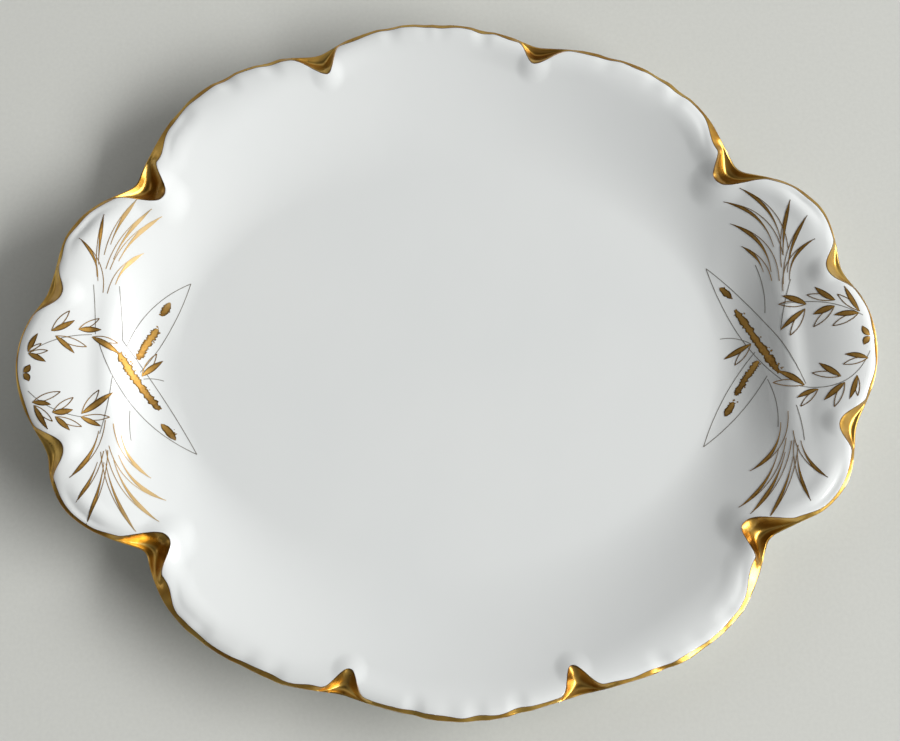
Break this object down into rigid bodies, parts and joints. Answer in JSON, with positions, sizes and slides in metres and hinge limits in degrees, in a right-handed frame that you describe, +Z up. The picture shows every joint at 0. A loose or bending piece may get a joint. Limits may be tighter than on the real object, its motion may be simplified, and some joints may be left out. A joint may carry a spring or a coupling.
{
  "type": "handled oval platter",
  "caption": "Shallow oval porcelain serving platter with tab handles, a scalloped rim dented by gilt scoops, a gilt edge and a foot ring.",
  "frame": {"origin": "centre of the underside, on the plane that the foot ring stands on", "axes": "+X along the platter's length towards the right handle, +Y across it away from the viewer of the picture, +Z up out of the dish"},
  "size_m": [0.305, 0.255, 0.0238],
  "materials": {
    "porcelain": "clear gloss glaze over white porcelain",
    "gilding": "burnished overglaze gold"
  },
  "bodies": {
    "root": {"porcelain_body": "porcelain", "gilt_edge_handle_right": "gilding", "gilt_edge_handle_left": "gilding", "gilt_edge_shoulder_right_back": "gilding", "gilt_edge_shoulder_left_back": "gilding", "gilt_edge_shoulder_left_front": "gilding", "gilt_edge_shoulder_right_front": "gilding", "gilt_edge_body_right_back": "gilding", "gilt_edge_body_left_back": "gilding", "gilt_edge_body_left_front": "gilding", "gilt_edge_body_right_front": "gilding", "gilt_edge_side_back": "gilding", "gilt_edge_side_front": "gilding", "gilt_scoop_handle_right_back": "gilding", "gilt_scoop_handle_left_back": "gilding", "gilt_scoop_handle_left_front": "gilding", "gilt_scoop_handle_right_front": "gilding", "gilt_scoop_corner_right_back": "gilding", "gilt_scoop_corner_left_back": "gilding", "gilt_scoop_corner_left_front": "gilding", "gilt_scoop_corner_right_front": "gilding", "gilt_scoop_side_right_back": "gilding", "gilt_scoop_side_left_back": "gilding", "gilt_scoop_side_left_front": "gilding", "gilt_scoop_side_right_front": "gilding"}
  },
  "joints": []
}
